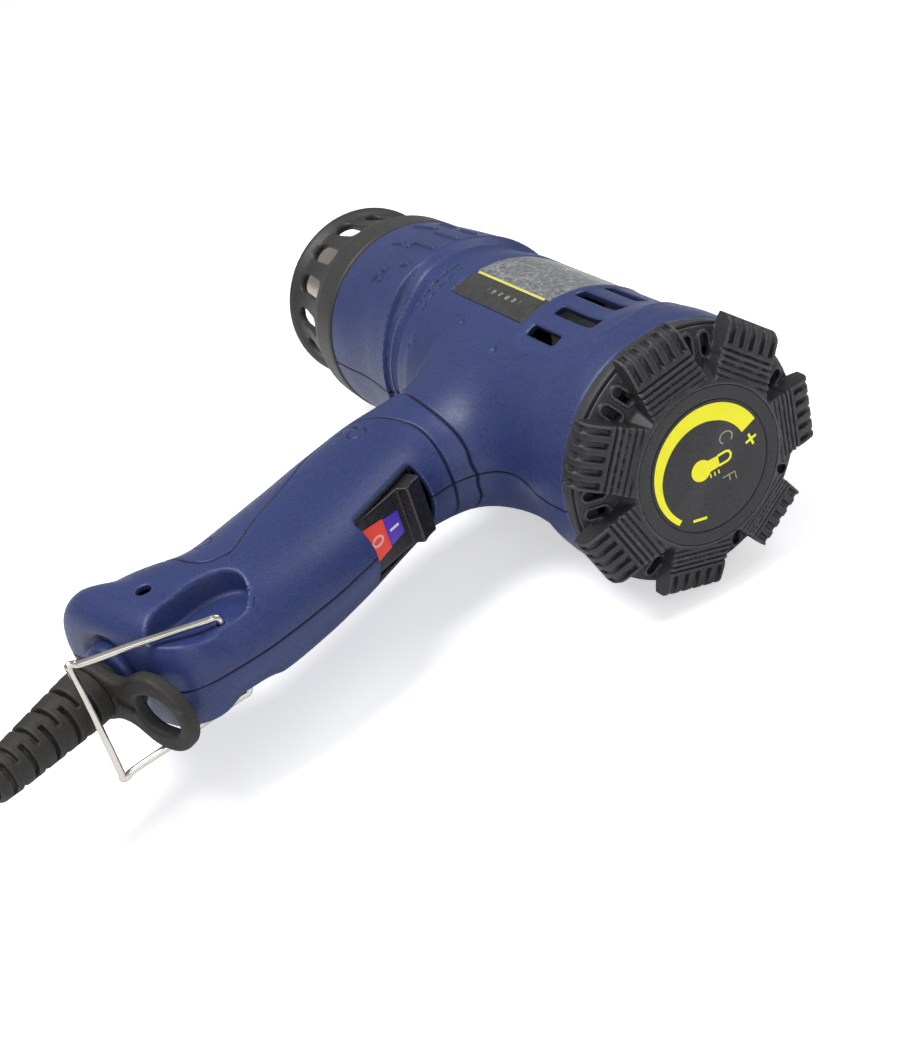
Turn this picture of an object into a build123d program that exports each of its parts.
from build123d import *
import math
import os

# Hot-air gun with a pistol handle, a slotted heat guard at the front and a seven-lug
# temperature dial at the rear. Millimetres. +X runs to the nozzle, +Z is up, the handle
# points down and +Y is the gun's left side. Geometry is laid out from the rear rim of the
# barrel; every piece is then moved by -NOZZLE_X as it is saved, so the origin of the
# finished gun is the centre of the nozzle outlet.

os.makedirs("parts", exist_ok=True)

# ---------------------------------------------------------------- driving dimensions
NOZZLE_X = 246.0        # nozzle outlet, from the rear rim of the barrel
NOZZLE_R = 17.25        # outside of the steel nozzle, takes 34.5 mm accessories
NOZZLE_T = 0.8
BORE_R = NOZZLE_R - NOZZLE_T
SPIGOT_X = 218.0        # spigot runs from here to the outlet
WALL = 2.6              # housing wall
BODY_R = 39.9           # barrel, main length
REAR_R = 41.6           # barrel, rear rim
FRONT_R = 38.0          # barrel, front rim
FRONT_X = 171.0
HANDLE_HW = 21.0        # half width of the handle
SHAFT_R = 1.6           # motor shaft
WIRE_R = 1.15           # wire bail
PIVOT_X, PIVOT_Z = 21.5, -148.0  # bail pivot
CORD_R = 2.3            # one core of the twin cord
CORE_Y = CORD_R + 0.05  # each core's offset from the middle plane
SLOP = 0.05             # running clearance on a radius
CASE_SCREWS = [(70.8, -72.8), (55.0, -137.0), (43.2, -161.5)]  # clamshell screws, x and z


# ---------------------------------------------------------------- helpers
def save(name, shape):
    export_step(Pos(-NOZZLE_X, 0, 0) * shape, f"parts/{name}.step")


def group(items):
    """Several separate solids in one piece."""
    return Compound(children=[solid for item in items for solid in item.solids()])


def outline(points):
    """A face on the middle plane from (x, z) points."""
    return make_face(Polyline(*[(x, 0, z) for x, z in points], close=True))


def turned(points):
    """Revolves an (x, radius) outline about the barrel axis."""
    return revolve(outline(points), Axis.X, 360)


def cyl(x0, x1, radius, y=0.0, z=0.0):
    return Pos((x0 + x1) / 2, y, z) * Rot(0, 90, 0) * Cylinder(radius, x1 - x0)


def ring(x0, x1, outer_r, inner_r):
    return cyl(x0, x1, outer_r) - cyl(x0 - 1, x1 + 1, inner_r)


def cross_cyl(x, z, y0, y1, radius):
    return Pos(x, (y0 + y1) / 2, z) * Rot(90, 0, 0) * Cylinder(radius, abs(y1 - y0))


def box(x0, x1, y0, y1, z0, z1):
    return Pos((x0 + x1) / 2, (y0 + y1) / 2, (z0 + z1) / 2) * Box(x1 - x0, y1 - y0, z1 - z0)


def rod(start, end, radius):
    start, end = Vector(*start), Vector(*end)
    span = end - start
    return Plane(origin=(start + end) / 2, z_dir=span) * Cylinder(radius, span.length)


def bent_wire(points, radius):
    """Straight lengths with ball corners."""
    wire = rod(points[0], points[1], radius)
    for i in range(1, len(points) - 1):
        wire = wire + Pos(*points[i]) * Sphere(radius) + rod(points[i], points[i + 1], radius)
    return wire


def wedge(x0, x1, angle0, angle1):
    """A slice of space between two clock angles, counted from +Z towards +Y."""
    reach, steps = 60.0, 8
    points = [(0, 0)]
    for i in range(steps + 1):
        angle = math.radians(angle0 + (angle1 - angle0) * i / steps)
        points.append((reach * math.sin(angle), reach * math.cos(angle)))
    face = make_face(Polyline(*points, close=True))
    return Pos(x0, 0, 0) * extrude(Plane.YZ * face, x1 - x0)


def radial_plane(x, clock_angle, radius):
    """A plane that faces outward from the barrel axis."""
    angle = math.radians(clock_angle)
    outward = Vector(0, math.sin(angle), math.cos(angle))
    return Plane(origin=Vector(x, 0, 0) + outward * radius, x_dir=(1, 0, 0), z_dir=outward)


# Cord frame: t runs along the cord, down and out of the handle; side is towards the rear.
CORD_BASE = Vector(44.6, 0, -182.2)
CORD_DIR = Vector(-0.416, 0, -0.9094)
CORD_SIDE = Vector(CORD_DIR.Z, 0, -CORD_DIR.X)


def cord_point(t, side=0.0, y=0.0):
    return tuple(CORD_BASE + CORD_DIR * t + CORD_SIDE * side + Vector(0, y, 0))


def cord_plane(t, side=0.0):
    return Plane(origin=cord_point(t, side), x_dir=CORD_SIDE, z_dir=CORD_DIR)


def cord_cyl(t0, t1, radius):
    return cord_plane((t0 + t1) / 2) * Cylinder(radius, t1 - t0)


# Switch frame: along runs down the sloping rear face of the handle, out points away from it.
SWITCH_ORIGIN = Vector(38.3, 0, -78.3)
SWITCH_DIR = Vector(-0.477, 0, -0.879)
SWITCH_OUT = Vector(-0.879, 0, 0.477)
SWITCH_L, SWITCH_W = 32.6, 25.0


def switch_point(along, out):
    return tuple(SWITCH_ORIGIN + SWITCH_DIR * along + SWITCH_OUT * out)


def switch_plane(out, along=0.0):
    return Plane(origin=switch_point(along, out), x_dir=SWITCH_DIR, z_dir=SWITCH_OUT)


# Board frame: along runs down the handle from the barrel, depth is towards the front.
BOARD_ORIGIN = Vector(66.0, 0, -80.0)
BOARD_DIR = Vector(-0.31, 0, -0.951)
BOARD_DEPTH = Vector(0.951, 0, -0.31)


def board_point(along, depth, y):
    return tuple(BOARD_ORIGIN + BOARD_DIR * along + BOARD_DEPTH * depth + Vector(0, y, 0))


def board_box(along0, along1, depth0, depth1, y0, y1):
    centre = board_point((along0 + along1) / 2, (depth0 + depth1) / 2, (y0 + y1) / 2)
    plane = Plane(origin=centre, x_dir=BOARD_DIR, z_dir=(0, 1, 0))
    return plane * Box(along1 - along0, depth1 - depth0, y1 - y0)


# ---------------------------------------------------------------- housing
# Barrel outside and inside, (x, radius). The inside has a step at the rear that seats the
# intake ring and a groove near the front that traps the guard's flange.
BARREL_OUTSIDE = [
    (0, 0), (0, REAR_R), (6, 42.4), (18, 42.0), (25, 40.2), (60, BODY_R), (113, BODY_R),
    (117, 40.2), (124, 41.4), (127, 41.4), (128, 40.6), (138, 40.4), (150, 39.6),
    (FRONT_X, FRONT_R), (FRONT_X, 0),
]
BARREL_INSIDE = [
    (-1, 0), (-1, 38.6), (3.4, 38.6), (3.4, 37.2), (120, 37.2), (130, 37.0), (150, 36.4),
    (159.8, 34.9), (159.8, 36.3), (163.2, 36.3), (163.2, 34.9), (172, 34.9), (172, 0),
]
# Elliptical handle sections from the top: rear point, front point (x, z) and half width.
HANDLE_OUTSIDE = [
    ((8.0, -26.0), (114.0, -26.0), 27.0),
    ((28.0, -39.5), (104.5, -41.0), 23.0),
    ((40.5, -49.5), (99.5, -54.0), 21.8),
    ((46.6, -61.8), (97.2, -75.0), HANDLE_HW),
    ((38.2, -78.3), (91.5, -92.5), HANDLE_HW),
    ((28.9, -95.3), (84.0, -112.0), HANDLE_HW),
    ((20.2, -117.0), (75.2, -133.0), HANDLE_HW),
    ((14.8, -137.2), (68.4, -151.5), HANDLE_HW),
    ((13.8, -149.5), (74.6, -162.0), 21.6),
    ((15.6, -161.5), (78.6, -171.5), 21.4),
    ((22.5, -171.5), (73.0, -179.8), 18.8),
    ((30.5, -177.3), (63.0, -183.5), 13.5),
]
# The cavity starts higher, inside the barrel, and stops short of the handle's end.
HANDLE_INSIDE = [
    ((8.0, -20.0), (114.0, -20.0), 27.0),
    *HANDLE_OUTSIDE[1:-2],
    ((21.5, -168.5), (72.5, -177.0), 18.5),
]
RIBS = [(58.0, 60.0), (104.4, 106.0), (118.6, 120.4)]  # x0, x1
VENTS = [(30, 46, 111.5), (21, 44, 96.0), (25, 48, 79.5), (35, 48, 64.5)]  # x0, x1, clock angle
VENT_W = 5.0
LABEL_X0, LABEL_X1 = 52.0, 99.0
LABEL_ANGLE0, LABEL_ANGLE1 = 65.0, 111.0
SCOOP_X, SCOOP_Z = 22.5, -153.0
HEAD_SEAT_Y = 13.0      # floor of the screw head recesses


def handle(offset, sections):
    """Lofts the sections, each drawn in by offset."""
    faces = []
    for (rear_x, rear_z), (front_x, front_z), half_width in sections:
        length = math.hypot(front_x - rear_x, front_z - rear_z)
        dir_x, dir_z = (front_x - rear_x) / length, (front_z - rear_z) / length
        plane = Plane(origin=((rear_x + front_x) / 2, 0, (rear_z + front_z) / 2),
                      x_dir=(dir_x, 0, dir_z), z_dir=(-dir_z, 0, dir_x))
        ellipse = Ellipse(length / 2 - offset, half_width - offset)
        faces.append(plane * make_face(ellipse.edge()))
    return loft(faces)


def housing_shell():
    outer = turned(BARREL_OUTSIDE) + handle(0.0, HANDLE_OUTSIDE)
    inner = turned(BARREL_INSIDE) + handle(WALL, HANDLE_INSIDE)
    shell = outer - inner

    # Screw bosses, then thick pads inside the two bail pivots.
    for x, z in CASE_SCREWS:
        shell = shell + (cross_cyl(x, z, -24, 24, 4.4) & outer)
    pads = box(11, 36, 6.5, 24, -165, -138) + box(11, 36, -24, -6.5, -165, -138)
    shell = shell + (pads & outer)
    # Collar round the cord outlet.
    shell = shell + (cord_cyl(-12, 6, 9.6) & outer)
    # Ribs round the inside of the barrel, at the motor mount and the outlet cone.
    for x0, x1 in RIBS:
        shell = shell + ring(x0, x1, 38.2, 35.0)

    # Scoops that bare the bail's pivots, and the pivot holes.
    for side in (1, -1):
        plane = Plane(origin=(0, side * 11.6, 0), x_dir=(1, 0, 0), z_dir=(0, side, 0))
        shell = shell - extrude(plane * Pos(SCOOP_X, -side * SCOOP_Z) * Ellipse(10.5, 13.5), 12)
        shell = shell - cross_cyl(PIVOT_X, PIVOT_Z, side * 8.4, side * 24, WIRE_R + SLOP)

    # Switch opening.
    shell = shell - extrude(switch_plane(-12) * Rectangle(SWITCH_L + 0.4, SWITCH_W + 0.4), 24)
    # Cord outlet, with a groove for the boot's flange.
    shell = shell - cord_cyl(-20, 14, 6.1) - cord_cyl(-9.1, -5.9, 8.6)

    # Air vents, the same on both sides.
    for x0, x1, clock_angle in VENTS:
        for angle in (clock_angle, -clock_angle):
            shell = shell - extrude(radial_plane((x0 + x1) / 2, angle, 34.0) *
                                    RectangleRounded(x1 - x0, VENT_W, 0.9), 14)
    # Label recesses.
    band = ring(LABEL_X0, LABEL_X1, 46.0, BODY_R - 0.6)
    for side in (1, -1):
        shell = shell - (band & wedge(LABEL_X0 - 1, LABEL_X1 + 1,
                                      side * LABEL_ANGLE0, side * LABEL_ANGLE1))
    return shell


def biggest(shape):
    """The housing half itself, without slivers cut free by the vents."""
    return max(shape.solids(), key=lambda solid: solid.volume)


def case_screw(x, z):
    cross = Rectangle(3.4, 0.8) + Rectangle(0.8, 3.4)
    cross_plane = Plane(origin=(x, 15.3, z), x_dir=(1, 0, 0), z_dir=(0, -1, 0))
    return (cross_cyl(x, z, HEAD_SEAT_Y + SLOP, 15.2, 2.8) + cross_cyl(x, z, -11.5, 13.1, 1.42)
            - extrude(cross_plane * cross, 1.3))


# The shell parts at y = 0: screws pass through the left half and bite in the right.
shell = housing_shell()
left = shell & box(-50, 400, 0, 100, -400, 100)
right = shell & box(-50, 400, -100, 0, -400, 100)
for x, z in CASE_SCREWS:
    left = left - cross_cyl(x, z, -1, 30, 1.75) - cross_cyl(x, z, HEAD_SEAT_Y, 30, 3.3)
    right = right - cross_cyl(x, z, -12.0, 1, 1.45)
save("left_housing", biggest(left))
save("right_housing", biggest(right))
save("housing_screws", group([case_screw(x, z) for x, z in CASE_SCREWS]))

for name, side in (("left_label", 1), ("right_label", -1)):
    band = ring(LABEL_X0 + 0.15, LABEL_X1 - 0.15, BODY_R - 0.12, BODY_R - 0.57)
    save(name, band & wedge(LABEL_X0, LABEL_X1,
                            side * (LABEL_ANGLE0 + 0.25), side * (LABEL_ANGLE1 - 0.25)))

# ---------------------------------------------------------------- nozzle guard
GUARD_SLOTS = 15
GUARD_RIM_R = 35.3
# (x, radius): outside from the flange to the front rim, then back along the inside.
GUARD = [
    (160.0, 32.4), (160.0, 36.2), (163.0, 36.2), (163.0, 34.8), (171.1, 34.8), (171.1, 38.4),
    (184.6, 38.2), (186.4, 37.0), (189.0, 36.6), (196.0, 34.9), (204.0, 33.3), (210.0, 32.5),
    (213.0, 32.9), (214.6, 34.2), (215.8, GUARD_RIM_R), (217.4, 35.0), (218.0, 34.0),
    (218.0, 31.4), (216.6, 30.5), (214.0, 30.0), (210.0, 29.7), (204.0, 30.4), (196.0, 32.0),
    (189.0, 33.4), (182.0, 34.2), (179.0, 34.2), (179.0, 18.3), (176.4, 18.3), (176.4, 32.4),
]
guard = turned(GUARD)
for k in range(GUARD_SLOTS):
    plane = radial_plane(201.2, 192.0 + 360.0 / GUARD_SLOTS * k, 24.0)
    guard = guard - extrude(plane * SlotOverall(22.5, 7.4), 20)
save("nozzle_guard", guard)

# ---------------------------------------------------------------- nozzle and heater
CORE_HOLE_R = 1.6       # hole for the centre lead
GRILLE_X = 241.5
GRILLE_TURN = math.degrees(math.atan2(-0.825, 0.565))
GRILLE_BARS = 5
GRILLE_PITCH = 6.2
FORMER_X0, FORMER_X1 = 128.0, 232.0
COIL_X, COIL_L, COIL_R, COIL_PITCH, COIL_WIRE_R = 133, 92.0, 13.2, 8.0, 0.5

# Rear flange, then the tube with a raised bead behind the spigot.
save("nozzle_tube", turned([
    (122.2, BORE_R), (122.2, 26.0), (123.2, 26.0), (123.2, NOZZLE_R), (213.6, NOZZLE_R),
    (214.2, 18.0), (217.4, 18.0), (SPIGOT_X, NOZZLE_R), (NOZZLE_X, NOZZLE_R),
    (NOZZLE_X, BORE_R)]))

# Outlet grille: one main bar and five cross bars in a thin band.
grille_frame = Pos(GRILLE_X, 0, 0) * Rot(GRILLE_TURN, 0, 0)
band = ring(238.5, 244.6, BORE_R - SLOP, BORE_R - 0.9)
bars = grille_frame * Box(6.0, 2 * BORE_R, 1.1)
for k in range(GRILLE_BARS):
    offset = (k - (GRILLE_BARS - 1) / 2) * GRILLE_PITCH
    bars = bars + grille_frame * Pos(0, offset, 0) * Box(5.0, 0.9, 2 * BORE_R)
save("nozzle_grille", band + (bars & cyl(237, 246, BORE_R - 0.5)))

save("mica_sleeve", ring(127.8, 236.0, BORE_R - 0.15, BORE_R - 0.75))

# Ceramic former: six fins round a core with a hole for the centre lead.
former = cyl(FORMER_X0, FORMER_X1, 4.0)
for k in range(3):
    former = former + (Pos((FORMER_X0 + FORMER_X1) / 2, 0, 0) * Rot(60 * k, 0, 0) *
                       Box(FORMER_X1 - FORMER_X0, 24.6, 1.8))
save("heater_former", former - cyl(120, 240, CORE_HOLE_R))

coil_path = Pos(COIL_X, 0, 0) * Rot(0, 90, 0) * Helix(pitch=COIL_PITCH, height=COIL_L,
                                                      radius=COIL_R)
coil_start = Plane(origin=coil_path @ 0, z_dir=coil_path % 0)
save("heater_coil", sweep(coil_start * Circle(COIL_WIRE_R), path=coil_path))

# Disc behind the former, with six air holes.
disc = cyl(123.4, 127.6, BORE_R - 0.2) - cyl(120, 130, CORE_HOLE_R)
for k in range(6):
    angle = math.radians(60 * k + 30)
    disc = disc - cyl(120, 130, 3.6, 9.6 * math.cos(angle), 9.6 * math.sin(angle))
save("terminal_disc", disc)
save("thermal_cutout", cyl(117.0, 123.3, 4.6) - cyl(110, 125, CORE_HOLE_R))
save("centre_lead", cyl(112.0, 228.0, 1.2))

# Heat shield between the hot tube and the plastic barrel.
save("heat_shield", turned([(123.4, 26.6), (123.4, 36.4), (124.2, 36.4), (124.2, 27.4),
                            (173.0, 27.4), (173.0, 26.6)]))
save("outlet_cone", turned([
    (106.2, 32.0), (106.2, 36.9), (108.2, 36.9), (108.2, 34.4), (121.0, 19.8), (121.0, 26.0),
    (122.1, 26.0), (122.1, 17.8), (120.2, 17.8)]))

# ---------------------------------------------------------------- motor and fan
CAN_X0, CAN_X1 = 66.0, 100.0
CAN_R, CAN_BORE_R = 18.0, 16.8
REAR_SEAT_R, FRONT_SEAT_R = 5.0, 4.0  # holes that hold the shaft bushes
MOTOR_SCREW_Z = 11.0    # screws sit this far above and below the shaft
SCREW_SEAT_X = CAN_X0 - 0.1
ARM_X0, ARM_X1 = 72.0, 90.0
ARM_POLES = 5
BRUSH = (92.6, 96.4, -1.9, 1.9)  # x0, x1, y0, y1
FAN_R = 34.0
FAN_BLADES = 9
MOUNT_VANES = 7

can = turned([(CAN_X0, REAR_SEAT_R), (CAN_X0, CAN_R), (CAN_X1, CAN_R), (CAN_X1, CAN_BORE_R),
              (CAN_X0 + 1.2, CAN_BORE_R), (CAN_X0 + 1.2, REAR_SEAT_R)])
for side in (1, -1):
    can = can - cyl(60, 70, 1.25, z=side * MOTOR_SCREW_Z)
save("motor_can", can)
save("motor_screws", group([
    cyl(64.2, SCREW_SEAT_X, 2.6, z=side * MOTOR_SCREW_Z)
    + cyl(SCREW_SEAT_X, 69.6, 1.2, z=side * MOTOR_SCREW_Z) for side in (1, -1)]))

magnet_ring = ring(70.0, 92.0, CAN_BORE_R - SLOP, 14.4)
save("motor_magnets", group([magnet_ring & wedge(60, 100, 35, 145),
                             magnet_ring & wedge(60, 100, 215, 325)]))
BELL_X = CAN_X1 + SLOP
save("motor_end_bell", cyl(BELL_X, 103.0, CAN_R) + cyl(96.0, BELL_X, 16.7)
     - cyl(95.0, 99.4, 12.0) - cyl(90, 110, FRONT_SEAT_R))
save("rear_bush", ring(CAN_X0 + 0.1, 69.4, REAR_SEAT_R - SLOP, SHAFT_R + SLOP))
save("front_bush", ring(99.5, 102.9, FRONT_SEAT_R - SLOP, SHAFT_R + SLOP))
save("motor_shaft", cyl(44.0, 104.5, SHAFT_R))

# Armature: each pole is a flat neck under a curved shoe.
armature = cyl(ARM_X0, ARM_X1, 5.6)
for k in range(ARM_POLES):
    angle = 360 / ARM_POLES * k
    armature = armature + (Pos((ARM_X0 + ARM_X1) / 2, 0, 0) * Rot(angle, 0, 0) *
                           Pos(0, 0, 7.5) * Box(ARM_X1 - ARM_X0, 3.4, 9))
    armature = armature + (ring(ARM_X0, ARM_X1, 13.9, 11.9) &
                           wedge(ARM_X0 - 2, ARM_X1 + 2, angle - 28, angle + 28))
save("armature", armature - cyl(ARM_X0 - 2, ARM_X1 + 2, SHAFT_R))
save("commutator", ring(91.5, 97.5, 4.2, SHAFT_R))
save("carbon_brushes", group([box(*BRUSH, 4.3, 11.4), box(*BRUSH, -11.4, -4.3)]))

fan = turned([(46.0, SHAFT_R), (46.0, 9.0), (50.0, 13.0), (62.0, 13.0), (62.0, 11.4),
              (51.4, 11.4), (49.6, 8.0), (49.6, 4.6), (60.0, 4.6), (60.0, SHAFT_R)])
for k in range(FAN_BLADES):
    blade = (Rot(360 / FAN_BLADES * k, 0, 0) * Pos(55.0, 0, 23.2) * Rot(0, 0, 38) *
             Box(15.0, 1.5, 22.0))
    fan = fan + (blade & ring(45, 61.9, FAN_R, 12.0))
fan = fan & (ring(40, 57.8, FAN_R, 0.1) + ring(57.0, 63.0, FAN_R - 0.2, 0.1))
save("fan_impeller", fan - cyl(40, 70, SHAFT_R))

# Mount: a sleeve round the can, joined to an outer ring by radial vanes.
mount = ring(66.2, 92.0, 20.2, CAN_R + SLOP) + ring(72.0, 104.3, 37.0, 35.2)
for k in range(MOUNT_VANES):
    mount = mount + (Rot(360 / MOUNT_VANES * k, 0, 0) * Pos(82, 0, 28.0) * Box(20.0, 1.8, 16.6))
save("motor_mount", mount - cyl(60, 105, CAN_R + SLOP))

# ---------------------------------------------------------------- rear intake ring and dial
POT_BUSH_R = 3.5
POT_SHAFT_R = 3.0
DIAL_LUGS = 7
DIAL_R = 44.0
DIAL_BACK = -16.4       # rear face of the dial
DIAL_FRONT = -4.6       # front edge of the dial
LUG_W, LUG_WALL = 20.5, 2.2
LUG_STEP = 360.0 / DIAL_LUGS
# (x, radius) for the dial; (x, z) for the top lug and its hollow.
DIAL = [
    (DIAL_BACK, 2.0), (DIAL_BACK, 28.5), (-15.2, 30.0), (-8.6, 33.4), (-8.6, 40.8),
    (DIAL_FRONT, 41.4), (DIAL_FRONT, 38.0), (-6.8, 36.5), (-6.8, 30.8), (-12.6, 27.6),
    (-14.2, 25.6), (-14.2, 6.2), (-6.2, 6.2), (-6.2, 2.0),
]
LUG = [
    (-16.2, 24.0), (-16.2, 31.0), (-15.2, 33.6), (-14.0, 36.4), (-12.4, 39.2), (-10.6, 41.4),
    (-8.4, 43.2), (-6.4, DIAL_R), (DIAL_FRONT, 43.8), (DIAL_FRONT, 33.0), (-8.0, 30.0),
    (-13.0, 24.5),
]
LUG_HOLLOW = [
    (-13.9, 31.4), (-12.0, 35.8), (-9.4, 39.6), (-6.6, 41.6), (-3.6, 41.6), (-3.6, 35.4),
    (-7.2, 34.4), (-12.6, 30.6),
]

# Stepped outer ring, centre boss and six spokes.
intake = ring(0.2, 3.2, 38.5, 33.5) + ring(-4.0, 0.0, REAR_R, 33.5) + ring(-0.1, 0.3, 38.5, 33.5)
intake = intake + ring(-1.0, 2.4, 11.0, 3.6)
for k in range(6):
    intake = intake + (Pos(0.7, 0, 0) * Rot(60 * k, 0, 0) * Pos(0, 0, 22.3) * Box(3.4, 4.0, 24.0))
save("rear_intake_ring", intake - cyl(-5, 5, 3.6))

save("potentiometer_body", cyl(2.5, 12.5, 8.4) + cyl(-5.5, 2.5, POT_BUSH_R)
     - cyl(-7, 9.0, POT_SHAFT_R + SLOP))
nut = Pos(-1.2, 0, 0) * Rot(0, -90, 0) * extrude(RegularPolygon(5.4, 6), 2.4)
save("potentiometer_nut", nut - cyl(-10, 5, POT_BUSH_R + SLOP))
save("potentiometer_shaft", cyl(-10.9, 8.9, POT_SHAFT_R) - cyl(-11.4, -3.4, 1.2))

# Dial: face disc, skirt and seven hollow grip lugs, with two air slots between lugs.
dial = turned(DIAL)
for k in range(DIAL_LUGS):
    lug = extrude(outline(LUG), LUG_W / 2, both=True)
    lug = lug - extrude(outline(LUG_HOLLOW), LUG_W / 2 - LUG_WALL, both=True)
    dial = dial + Rot(LUG_STEP * k, 0, 0) * lug
for k in range(DIAL_LUGS):
    for offset in (-7.2, 7.2):
        dial = dial - Rot(LUG_STEP * (k + 0.5) + offset, 0, 0) * Pos(-9, 0, 34.2) * Box(14, 4.6, 3.8)
# Shaft socket, screw hole, screw head recess and the seat of the face plate.
dial = dial - cyl(-11.0, 0, POT_SHAFT_R) - cyl(-30, -9.4, 1.7) - cyl(-17.4, -13.4, 4.2)
dial = dial - cyl(-17.0, -15.65, 25.4)
save("temperature_dial", dial)
save("dial_face", cyl(DIAL_BACK, -15.7, 25.3))
save("dial_screw", cyl(-15.3, -13.5, 3.2) + cyl(-13.5, -4.9, 1.15))

# ---------------------------------------------------------------- switch
# The switch body sits in the handle's slot; the rocker's two trunnions turn in its walls.
TRUNNION_R = 1.3
ROCKER = [  # along, out
    (-13.9, -0.9), (-13.1, 0.1), (-7.0, 0.6), (-5.7, 0.0), (-5.0, -3.4), (14.6, -6.0),
    (14.6, -9.0), (5.0, -15.5), (-5.0, -15.5), (-14.6, -8.0),
]
trunnion_plane = Plane(origin=switch_point(0, -7.6), x_dir=SWITCH_DIR, z_dir=(0, 1, 0))
switch_body = extrude(switch_plane(-22.0) * Rectangle(SWITCH_L, SWITCH_W), 16.8)
pocket = extrude(switch_plane(-18.6) * Rectangle(30.6, 22.2), 20)
save("switch_housing", switch_body - pocket - trunnion_plane * Cylinder(TRUNNION_R + SLOP, 40))
rocker = make_face(Polyline(*[switch_point(along, out) for along, out in ROCKER], close=True))
save("switch_rocker", extrude(rocker, 10.6, both=True)
     + trunnion_plane * Cylinder(TRUNNION_R, 24.4))
save("switch_terminals", group([
    extrude(switch_plane(-29.0, along) * Rectangle(0.8, 6.3), 6.95) for along in (-9.0, 0.0, 9.0)]))

# ---------------------------------------------------------------- control board in the handle
PARTS_Y = -10.3         # underside of the parts on the board
save("control_board", board_box(28.5, 52, -12.0, 13.0, -12.0, PARTS_Y - 0.1))
save("triac", board_box(30, 36, -4.0, 0.5, PARTS_Y, 4.0))
save("triac_heatsink", board_box(29, 46, 0.6, 2.4, PARTS_Y, 9.0)
     + board_box(29, 31, 2.0, 9.0, PARTS_Y, 9.0) + board_box(44, 46, 2.0, 9.0, PARTS_Y, 9.0))
save("suppression_capacitor", board_box(37.5, 51.5, -11.5, -4.4, PARTS_Y, 5.0))

# ---------------------------------------------------------------- cord clamp
# Two bars grip the cord inside the handle end, drawn together by two screws.
CLAMP_T = -29.0
CLAMP_SIDE = 5.35
CLAMP_SCREW_Y = 7.7


def clamp_rod(side0, side1, y, radius):
    return rod(cord_point(CLAMP_T, side0, y), cord_point(CLAMP_T, side1, y), radius)


for name, side in (("cord_clamp", CLAMP_SIDE), ("cord_saddle", -CLAMP_SIDE)):
    bar = cord_plane(CLAMP_T, side) * Box(4.0, 21.0, 6.0)
    for y in (CLAMP_SCREW_Y, -CLAMP_SCREW_Y):
        bar = bar - clamp_rod(11.6, -9.52, y, 1.35)
    save(name, bar)
save("cord_clamp_screws", group([
    clamp_rod(10.64, 8.4, y, 2.4) + clamp_rod(8.4, -6.0, y, 1.3)
    for y in (CLAMP_SCREW_Y, -CLAMP_SCREW_Y)]))

# ---------------------------------------------------------------- cord, boot, loop, bail
NECK_T0, NECK_T1, NECK_R = 2.2, 7.4, 7.6  # the boot's neck, which carries the loop
BOOT_R, BOOT_BORE_R = 9.4, 4.85
BOOT_RINGS, RING_PITCH = 10, 4.0

# (t, radius), with a tapering run of rings below the neck.
boot = [(-9.0, BOOT_BORE_R), (-9.0, 8.5), (-6.0, 8.5), (-6.0, 6.0), (NECK_T0, 6.0),
        (NECK_T0, NECK_R), (NECK_T1, NECK_R), (NECK_T1, BOOT_R)]
for k in range(BOOT_RINGS):
    t = NECK_T1 + RING_PITCH * k
    ring_r = BOOT_R - (t - NECK_T1) * 2.7 / 36.0
    boot += [(t + 2.4, ring_r), (t + 2.4, ring_r - 1.3),
             (t + RING_PITCH, ring_r - 1.3), (t + RING_PITCH, ring_r - 0.3)]
boot += [(50.5, 6.5), (50.5, BOOT_BORE_R)]
boot_face = make_face(Polyline(*[cord_point(t, radius) for t, radius in boot], close=True))
save("cable_boot", revolve(boot_face, Axis(origin=CORD_BASE, direction=CORD_DIR), 360))

# Hanging loop: a collar on the neck, a short bridge and the eye.
LOOP_W = 4.6
EYE_DIST, EYE_R, EYE_HOLE_R = 27.0, 12.6, 7.6
EYE_TURN = -5.0
eye = Pos(EYE_DIST * math.cos(math.radians(EYE_TURN)), EYE_DIST * math.sin(math.radians(EYE_TURN)))
loop = Circle(10.6) + eye * Circle(EYE_R) + Rot(0, 0, EYE_TURN) * Pos(13.0, 0) * Rectangle(10.0, 9.0)
loop = loop - Circle(NECK_R + SLOP) - eye * Circle(EYE_HOLE_R)
save("hanging_loop", extrude(cord_plane((NECK_T0 + NECK_T1) / 2) * loop, LOOP_W / 2, both=True))


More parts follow.
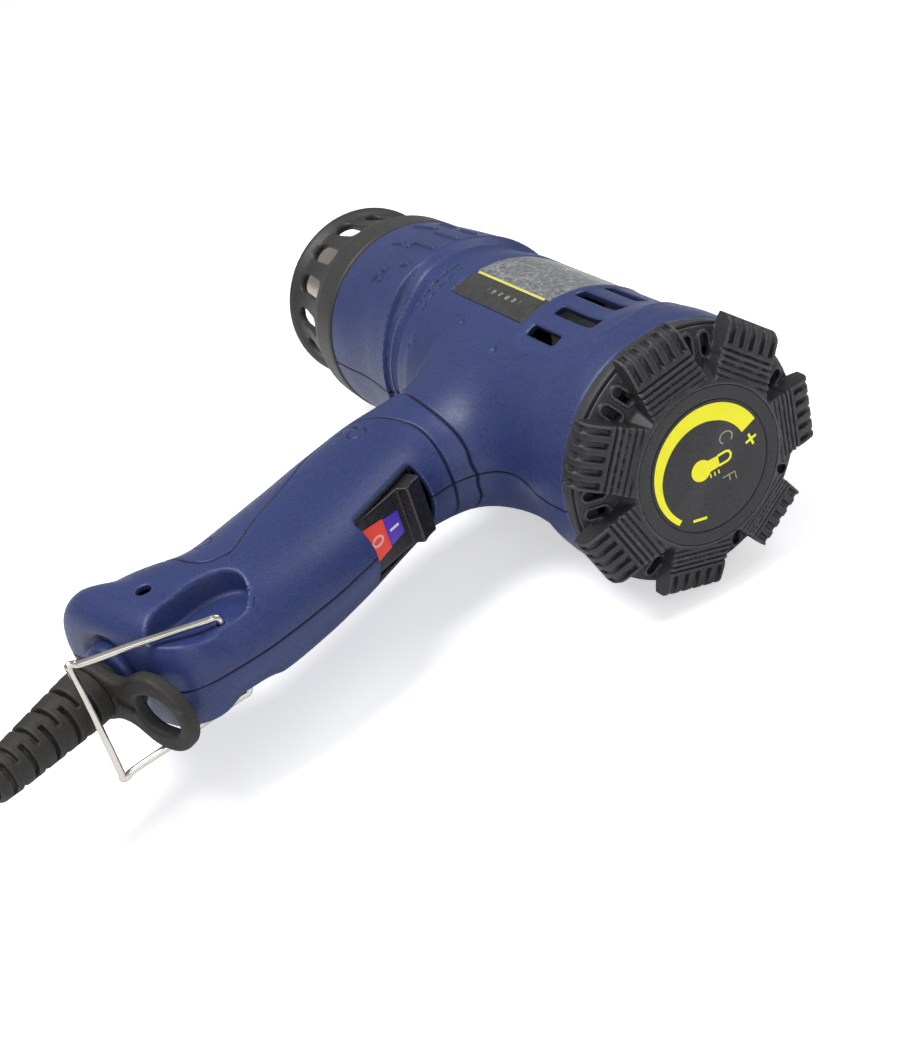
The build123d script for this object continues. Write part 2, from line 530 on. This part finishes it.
def cord_core(y):
    """One round core, straight through the boot, then hanging down."""
    top, bend = cord_point(-37, y=y), cord_point(52, y=y)
    path = Polyline(top, bend) + Spline(bend, (20.6, y, -243.5), (19.4, y, -256.5),
                                        tangents=[tuple(CORD_DIR), (-0.05, 0, -1)])
    return sweep(Plane(origin=top, z_dir=CORD_DIR) * Circle(CORD_R), path=path)


save("power_cord", group([cord_core(CORE_Y), cord_core(-CORE_Y)]))

BAIL_X, BAIL_Y, BAIL_Z = 25.1, 20.6, -192.3  # lower corners of the bail
save("wire_bail", bent_wire([
    (PIVOT_X, 8.9, PIVOT_Z), (PIVOT_X, 13.9, PIVOT_Z), (BAIL_X, BAIL_Y, BAIL_Z),
    (BAIL_X, -BAIL_Y, BAIL_Z), (PIVOT_X, -13.9, PIVOT_Z), (PIVOT_X, -8.9, PIVOT_Z)], WIRE_R))

# ---------------------------------------------------------------- internal leads
LEAD_R = 0.9
LEAD_T = -38.2          # where the supply leads start, above the cord's end


def soft_lead(points):
    """An insulated wire along a smooth curve."""
    path = Spline(*points)
    return sweep(Plane(origin=path @ 0, z_dir=path % 0) * Circle(LEAD_R), path=path)


save("supply_live_lead", bent_wire(
    [cord_point(LEAD_T, y=CORE_Y), (44.0, 14.5, -140.0), (40.0, 14.5, -112.0)], LEAD_R))
save("supply_neutral_lead", bent_wire(
    [cord_point(LEAD_T, y=-CORE_Y), (52.0, -7.0, -144.0), board_point(53.4, -4.0, -8.0)], LEAD_R))
save("heater_leads", group([soft_lead([
    board_point(25.5, 8.0 + 2.5 * side, -7.0), (82.5 + 2.5 * side, -7.0, -76.0),
    (87.0 + 2.5 * side, -7.5, -60.0), (90.0 + 3 * side, -8.0, -46.0)]) for side in (1, -1)]))
save("dial_leads", group([soft_lead([
    (13.6, side * 3.0, -4.0), (22.0, side * 3.0, -26.0), (40.0, side * 2.8, -38.0),
    (60.0, side * 2.6, -47.0), (77.0, side * 2.6, -60.0), (79.5, side * 2.6, -76.0),
    (72.0, side * 2.6, -94.0), (66.0, side * 2.6, -103.0)]) for side in (1, 0, -1)]))
